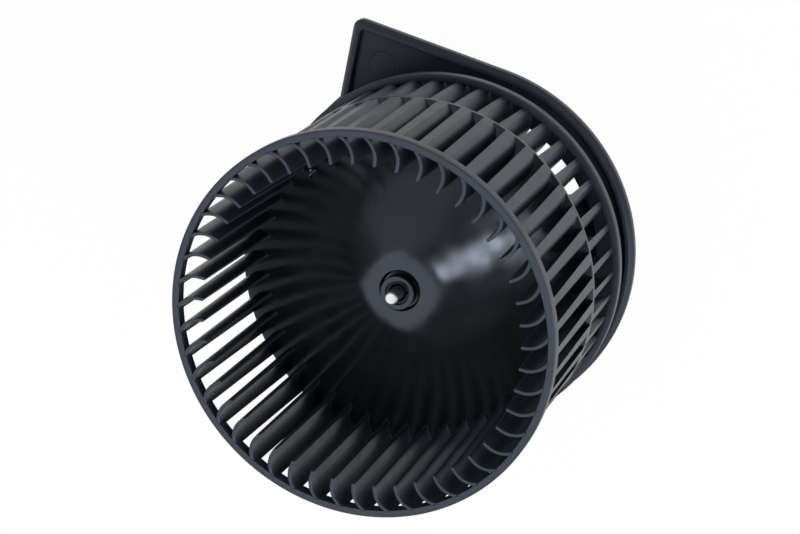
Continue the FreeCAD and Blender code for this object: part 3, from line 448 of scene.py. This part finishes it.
def set_around(thing, count, first_angle, material):
    """Repeats a piece evenly about the shaft and bakes it."""
    tree, sockets = repeater(f"{thing.name}_around", material)
    modifier = thing.modifiers.new("around", "NODES")
    modifier.node_group = tree
    modifier[sockets["Count"].identifier] = count
    modifier[sockets["First Angle"].identifier] = first_angle
    return bake(thing, material)


# Fan wheel: its blades

def cone_height(radius):
    """Height of the disc's front face."""
    return DISC_EDGE + CONE_FALL * (BLADE_OUTER - radius)


def crossing(centre, radius):
    """Point where a circle about a centre meets the blades' outer radius."""
    distance = math.hypot(*centre)
    along = (BLADE_OUTER ** 2 - radius ** 2 + distance ** 2) / (2 * distance)
    beside = math.sqrt(BLADE_OUTER ** 2 - along ** 2)
    return ((along * centre[0] + beside * centre[1]) / distance,
            (along * centre[1] - beside * centre[0]) / distance)


def blade_section(chord, thickness):
    """Closed outline of a blade, anticlockwise: round tip, back, outer end and hollow side."""
    centre = (BLADE_BEND, BLADE_CURVE + BLADE_BACK)
    back_curve = centre[1] + BLADE_BACK
    hollow_curve = back_curve - thickness
    back_end, hollow_end = (
        math.degrees(math.atan2(end[1] - centre[1], end[0] - centre[0]))
        for end in (crossing(centre, back_curve), crossing(centre, hollow_curve)))
    front = thickness - BLADE_BACK
    nose = thickness / 2
    points = arc((BLADE_OUTER - chord + nose, front - nose), nose, 90, 270, steps=8)
    points += [(BLADE_BEND - BEND_LEAD, -BLADE_BACK)]
    points += arc(centre, back_curve, -90, back_end, steps=12)
    points += arc(centre, hollow_curve, hollow_end, -90, steps=12)
    points += [(BLADE_BEND - BEND_LEAD, front)]
    return points


def outward_normals(points):
    """Unit normals of a closed anticlockwise outline, at its points."""
    normals = []
    for i, point in enumerate(points):
        before, after = points[i - 1], points[(i + 1) % len(points)]
        across, up = after[0] - before[0], after[1] - before[1]
        length = math.hypot(across, up) or 1
        normals.append((up / length, -across / length))
    return normals


def blade_foot(points, side):
    """Rows of points from inside the disc up the fillet to a blade's section over the disc."""
    rows = [(-ROOT_SINK, ROOT_FILLET)]
    for step in range(FILLET_STEPS + 1):
        turn = math.pi / 2 * step / FILLET_STEPS
        rows.append((ROOT_FILLET * (1 - math.cos(turn)), ROOT_FILLET * (1 - math.sin(turn))))
    normals = outward_normals(points)
    vertices = []
    for rise, growth in rows:
        for (x, y), (nx, ny) in zip(points, normals):
            fade = min(max((BLADE_OUTER - math.hypot(x, y)) / FILLET_FADE, FILLET_LEAST), 1)
            x, y = x + nx * growth * fade, y + ny * growth * fade
            radius = math.hypot(x, y)
            if radius > BLADE_OUTER:
                x, y = x * BLADE_OUTER / radius, y * BLADE_OUTER / radius
                radius = BLADE_OUTER
            surface = cone_height(radius) - (0 if side > 0 else DISC_WALL)
            vertices.append((x, y, surface + side * rise))
    return vertices


def blade(name, tip_height, tip_thickness, root_thickness, side):
    """One blade from its filleted root on the disc to its tip at a ring. side is +1 for a front
    blade, which stands on the disc, and -1 for a rear blade, which hangs from it."""
    span = abs(tip_height - DISC_EDGE)

    def section_at(height):
        """The blade's section, which grows longer and thicker towards the disc."""
        share = min(abs(height - tip_height) / span, 1)
        thickness = tip_thickness + (root_thickness - tip_thickness) * share
        return blade_section(BLADE_CHORD + BLADE_ROOT_GAIN * share, thickness)

    tip = section_at(tip_height)
    count = len(tip)
    vertices = blade_foot(section_at(DISC_EDGE + side * ROOT_SECTION), side)
    for below_tip in (span * 0.75, span * 0.5, span * 0.25, BLADE_EDGE):
        height = tip_height - side * below_tip
        vertices += [(x, y, height) for x, y in section_at(height)]
    vertices += [(x - nx * BLADE_EDGE, y - ny * BLADE_EDGE, tip_height)
                 for (x, y), (nx, ny) in zip(tip, outward_normals(tip))]
    top = len(vertices) - count
    faces = []
    for here in range(0, top, count):
        there = here + count
        for i in range(count):
            j = (i + 1) % count
            faces.append((here + i, here + j, there + j, there + i))
    faces.append(tuple(range(top, len(vertices))))
    if side < 0:
        faces = [face[::-1] for face in faces]
    return mesh_object(name, vertices, faces)


def wheel_blades():
    """The two rows of blades. The rear ones stand half a pitch round from the front ones."""
    rows = []
    for name, tip_height, tip_thickness, root_thickness, side, first_angle in (
            ("front_blades", WHEEL_FRONT, FRONT_TIP_THICKNESS, FRONT_ROOT_THICKNESS, 1,
             BLADE_PHASE),
            ("rear_blades", WHEEL_REAR, REAR_TIP_THICKNESS, REAR_ROOT_THICKNESS, -1,
             BLADE_PHASE + BLADE_PITCH / 2)):
        row = blade(name, tip_height, tip_thickness, root_thickness, side)
        sharpen(row, degrees=30)
        rows.append(set_around(row, BLADE_COUNT, first_angle, BLACK_WHEEL))
    return rows


# Fan wheel: its rings and its disc

def ring_profile(outer, low, high):
    """Section of a ring. Its inner edges are half as round as its outer ones."""
    wide, small = RING_ROUNDING, RING_ROUNDING / 2
    return (arc((outer - wide, low + wide), wide, -90, 0, steps=4)
            + arc((outer - wide, high - wide), wide, 0, 90, steps=4)
            + arc((RING_INNER + small, high - small), small, 90, 180, steps=3)
            + arc((RING_INNER + small, low + small), small, 180, 270, steps=3))


def wheel_rings():
    """The front and the rear ring, round enough that their facets don't show."""
    rings = []
    for name, outer, low, high in (
            ("front_ring", RING_RADIUS, WHEEL_FRONT - FRONT_RING_DEPTH, WHEEL_FRONT),
            ("rear_ring", REAR_RING_RADIUS, WHEEL_REAR, WHEEL_REAR + REAR_RING_DEPTH)):
        ring = lathe(name, ring_profile(outer, low, high), segments=8 * BLADE_COUNT)
        ring.data.materials.append(BLACK_WHEEL)
        sharpen(ring, degrees=50)
        rings.append(ring)
    return rings


def shoulder_height(radius):
    """Height of the disc's front face where the cone flattens towards the hub."""
    inward = SHOULDER - radius
    return cone_height(radius) - CONE_FALL * inward ** 2 / (2 * (SHOULDER - LIP_EDGE))


def disc_profile():
    """Section of the cone disc and its hub, anticlockwise from the bore's rear end."""
    edge = DISC_ROUNDING
    lip = shoulder_height(LIP_EDGE)
    recess_rear = RECESS_FLOOR - DISC_WALL
    recess_outer = RECESS_RADIUS + DISC_WALL
    shoulder_stations = [LIP_EDGE + (SHOULDER - LIP_EDGE) * i / SHOULDER_STEPS
                         for i in range(SHOULDER_STEPS + 1)]
    points = [(HUB_BORE, HUB_REAR), (BOSS_RADIUS - edge, HUB_REAR)]
    points += arc((BOSS_RADIUS - edge, HUB_REAR + edge), edge, -90, 0, steps=3)[1:]
    points += [(BOSS_RADIUS, recess_rear), (recess_outer, recess_rear),
               (recess_outer, lip - DISC_WALL)]
    # The first two stations of the shoulder lie inside the recess's wall at the rear
    points += [(radius, shoulder_height(radius) - DISC_WALL) for radius in shoulder_stations[2:]]
    points += [(radius, cone_height(radius) - DISC_WALL) for radius in CONE_STATIONS]
    points += arc((BLADE_OUTER - edge, cone_height(BLADE_OUTER - edge) - DISC_WALL + edge), edge,
                  -CONE_TURN, 0, steps=3)
    points += arc((BLADE_OUTER - edge, DISC_EDGE - edge), edge, 0, CONE_TURN, steps=3)
    points += [(radius, cone_height(radius)) for radius in reversed(CONE_STATIONS)]
    points += [(radius, shoulder_height(radius)) for radius in reversed(shoulder_stations)]
    points += arc((RECESS_RADIUS + LIP_ROUNDING, lip - LIP_ROUNDING), LIP_ROUNDING, 90, 180,
                  steps=4)
    points += arc((RECESS_RADIUS - RECESS_CORNER, RECESS_FLOOR + RECESS_CORNER), RECESS_CORNER,
                  0, -90, steps=3)
    points += [(BOSS_RADIUS, RECESS_FLOOR)]
    points += arc((BOSS_RADIUS - edge, BOSS_FACE - edge), edge, 0, 90, steps=3)
    points += arc((COUNTERBORE_RADIUS + edge, BOSS_FACE - edge), edge, 90, 180, steps=3)
    points += [(COUNTERBORE_RADIUS, COUNTERBORE_FLOOR), (HUB_BORE, COUNTERBORE_FLOOR)]
    return points


def wheel_disc():
    """Cone disc with the small through hole near its edge."""
    disc = lathe("wheel_disc", disc_profile(), segments=4 * BLADE_COUNT)
    bpy.ops.mesh.primitive_cylinder_add(
        vertices=32, radius=HOLE_RADIUS, depth=DRILL_LENGTH,
        location=(HOLE_PLACE * math.cos(HOLE_ANGLE), HOLE_PLACE * math.sin(HOLE_ANGLE),
                  cone_height(HOLE_PLACE)))
    drill = bpy.context.object
    cut = disc.modifiers.new("hole", "BOOLEAN")
    cut.operation = "DIFFERENCE"
    cut.solver = "EXACT"
    cut.object = drill
    sharpen(disc, degrees=40)
    bake(disc, BLACK_DISC)
    bpy.data.objects.remove(drill)
    return disc


def build_wheel():
    """The whole wheel, in place of the CAD model's plainer one."""
    disc = wheel_disc()
    for piece in [disc, *wheel_rings(), *wheel_blades()]:
        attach(piece, "rotor")
        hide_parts("fan_wheel")


# CAD nodes that stay, with their own materials and softened edges

ROUNDED_NODES = {"mounting_flange": 0.25 * MM, "rear_cap": 0.4 * MM, "front_damper": 0.4 * MM,
                 "rear_damper": 0.4 * MM}
WELD_DISTANCE = 0.001 * MM


def on_outer_rim(point):
    """True for a point on the slope that runs round the outside of the flange's rim."""
    angle, radius = math.atan2(point.y, point.x), math.hypot(point.x, point.y)
    on_tongue = (TONGUE_START < angle < TONGUE_END
                 and radius * math.cos(angle - TONGUE_START) < FLANGE_RADIUS - RIM_SLOPE
                 and radius * math.cos(angle - TONGUE_SIDE_ANGLE) < TONGUE_SIDE - RIM_SLOPE)
    return point.z > RIM_SLOPE and radius > FLANGE_RADIUS - RIM_SLOPE and not on_tongue


def round_rim(thing):
    """Turns the slope round the flange's rim into a full rounding."""
    rim = thing.vertex_groups.new(name="outer_rim")
    rim.add([v.index for v in thing.data.vertices if on_outer_rim(v.co)], 1.0, "REPLACE")
    bevel = thing.modifiers.new("rounded_rim", "BEVEL")
    bevel.width = RIM_ROUNDING
    bevel.segments = 4
    bevel.limit_method = "VGROUP"
    bevel.vertex_group = rim.name


def join_flats(thing):
    """Joins the triangles of flat faces, so that a bevel can follow the real edges."""
    flat = thing.modifiers.new("flat_faces", "DECIMATE")
    flat.decimate_type = "DISSOLVE"
    flat.angle_limit = math.radians(1)


def round_edges(thing, width):
    """Softens the edges of a moulding, all but the shallow ones between facets."""
    bevel = thing.modifiers.new("rounded_edges", "BEVEL")
    bevel.width = width
    bevel.segments = 3
    bevel.limit_method = "ANGLE"
    bevel.angle_limit = math.radians(25)


def dress_nodes():
    """Gives each CAD node its material, smooth shading and, where it is moulded, rounded edges."""
    slots = {part["node"]: part["material_slot"] for part in frame["record"]["subparts"]}
    for name, thing in frame["nodes"].items():
        thing.data.materials.clear()
        thing.data.materials.append(MATERIALS[slots[name]])
        if "custom_normal" in thing.data.attributes:
            thing.data.attributes.remove(thing.data.attributes["custom_normal"])
        thing.data.polygons.foreach_set("use_smooth", [True] * len(thing.data.polygons))
        weld = thing.modifiers.new("weld", "WELD")
        weld.merge_threshold = WELD_DISTANCE
        if name in ROUNDED_NODES:
            join_flats(thing)
            if name == "mounting_flange":
                round_rim(thing)
            round_edges(thing, ROUNDED_NODES[name])
        sharpen(thing, degrees=32)


# Camera, floor and light

FOCAL_LENGTH = 94.19
SENSOR_WIDTH = 36.0
CAMERA_RIGHT = Vector((0.94052129, -0.09674587, -0.32566844))
CAMERA_UP = Vector((0, 0.95859622, -0.28476884))
CAMERA_BACK = Vector((0.33973474, 0.26783116, 0.90158016))
CAMERA_PLACE = Vector((266.87, 218.81, 659.54)) * MM + Vector((0, 0, WHEEL_FRONT))
TARGET = Vector((0, 0, WHEEL_FRONT - 50 * MM))
CLIP_START, CLIP_END = 0.05, 20

# Each softbox by its place in metres to the camera's right, up and back from the middle of the
# wheel, the length of its side in metres and its power in watts
SOFTBOXES = {
    "key_softbox": ((0.78, -0.75, 0.83), 0.8, 11),
    "overhead_lamp": ((-0.17, -0.43, 1.18), 0.17, 1.8),
    "front_softbox": ((-0.8, -0.74, 0.87), 1.0, 5.7),
    "fill_softbox": ((-0.76, 0.38, 1.05), 1.3, 3.6),
}

# The share of the white background that shiny surfaces see, as floor and as walls, and the share of
# the floor's own look that is plain white and takes no shadow
FLOOR_MIRRORED = 0.8
WALLS_MIRRORED = 0.14
FLOOR_GLOW = 0.97
FLOOR_HALF = 3.0
FLOOR_GAP = 0.5 * MM
WHITE = (1, 1, 1, 1)


def make_camera():
    """The camera at the photograph's angle and distance."""
    data = bpy.data.cameras.new("camera")
    data.lens = FOCAL_LENGTH
    data.sensor_width = SENSOR_WIDTH
    data.sensor_fit = "HORIZONTAL"
    data.clip_start = CLIP_START
    data.clip_end = CLIP_END
    camera = bpy.data.objects.new("camera", data)
    bpy.context.scene.collection.objects.link(camera)
    turn = Matrix((CAMERA_RIGHT, CAMERA_UP, CAMERA_BACK)).transposed()
    camera.matrix_world = turn.to_4x4()
    camera.location = CAMERA_PLACE
    bpy.context.scene.camera = camera


def softbox(name, offset, side, power):
    """A square soft light that looks at the middle of the wheel."""
    data = bpy.data.lights.new(name, "AREA")
    data.shape = "SQUARE"
    data.size = side
    data.energy = power
    lamp = bpy.data.objects.new(name, data)
    bpy.context.scene.collection.objects.link(lamp)
    right, up, back = offset
    place = TARGET + CAMERA_RIGHT * right + CAMERA_UP * up + CAMERA_BACK * back
    lamp.location = place
    lamp.rotation_mode = "QUATERNION"
    lamp.rotation_quaternion = (place - TARGET).to_track_quat("Z", "Y")


def background_ray(tree, mirrored):
    """1 for rays that see the plain white background, and the given share for those that shiny and
    clear surfaces send out."""
    path = add_node(tree, "ShaderNodeLightPath")
    shine = add_node(tree, "ShaderNodeMath",
                     {0: path["Is Glossy Ray"], 1: path["Is Transmission Ray"]},
                     operation="MAXIMUM")[0]
    dimmed = add_node(tree, "ShaderNodeMath", {0: shine, 1: mirrored}, operation="MULTIPLY")[0]
    return add_node(tree, "ShaderNodeMath", {0: path["Is Camera Ray"], 1: dimmed},
                    operation="MAXIMUM")[0]


def make_floor():
    """White floor that keeps a faint shadow of the object and can be seen through from below."""
    low = cad_box[0][2] - FLOOR_GAP
    corners = [(x * FLOOR_HALF, y * FLOOR_HALF, low)
               for x, y in ((-1, -1), (1, -1), (1, 1), (-1, 1))]
    floor = mesh_object("floor", corners, [(0, 1, 2, 3)], smooth=False)
    material = bpy.data.materials.new("floor_white_paper")
    tree = empty_tree(material)
    paper = add_node(tree, "ShaderNodeBsdfDiffuse", {"Color": linear("#ececec")})[0]
    glow = add_node(tree, "ShaderNodeEmission", {"Color": WHITE, "Strength": 1.0})[0]
    share = add_node(tree, "ShaderNodeMath",
                     {0: background_ray(tree, FLOOR_MIRRORED), 1: FLOOR_GLOW},
                     operation="MULTIPLY")[0]
    upper_side = add_node(tree, "ShaderNodeMixShader", {0: share, 1: paper, 2: glow})[0]
    underside = add_node(tree, "ShaderNodeBsdfTransparent")[0]
    from_below = add_node(tree, "ShaderNodeNewGeometry")["Backfacing"]
    either = add_node(tree, "ShaderNodeMixShader", {0: from_below, 1: upper_side, 2: underside})[0]
    add_node(tree, "ShaderNodeOutputMaterial", {"Surface": either})
    floor.data.materials.append(material)


def make_world():
    """White walls that fade to a dim ceiling, as round a table in a studio. What looks straight at
    them sees plain white."""
    world = bpy.data.worlds.new("studio")
    bpy.context.scene.world = world
    tree = empty_tree(world)
    direction = add_node(tree, "ShaderNodeTexCoord")["Generated"]
    height = add_node(tree, "ShaderNodeSeparateXYZ", {0: direction})["Z"]
    walls = add_node(tree, "ShaderNodeMapRange", {
        "Value": height, "From Min": 0.25, "From Max": 0.75, "To Min": 0.45, "To Max": 0.12},
        interpolation_type="SMOOTHSTEP")["Result"]
    strength = add_node(tree, "ShaderNodeMix", {
        "Factor": background_ray(tree, WALLS_MIRRORED), "A": walls, "B": 1.0})["Result"]
    sky = add_node(tree, "ShaderNodeBackground", {"Color": WHITE, "Strength": strength})[0]
    add_node(tree, "ShaderNodeOutputWorld", {"Surface": sky})


def make_lights():
    """The studio's softboxes."""
    for name, (offset, side, power) in SOFTBOXES.items():
        softbox(name, offset, side, power)


bpy.context.scene.view_settings.view_transform = "Standard"
build_wheel()
dress_nodes()
make_camera()
make_floor()
make_world()
make_lights()
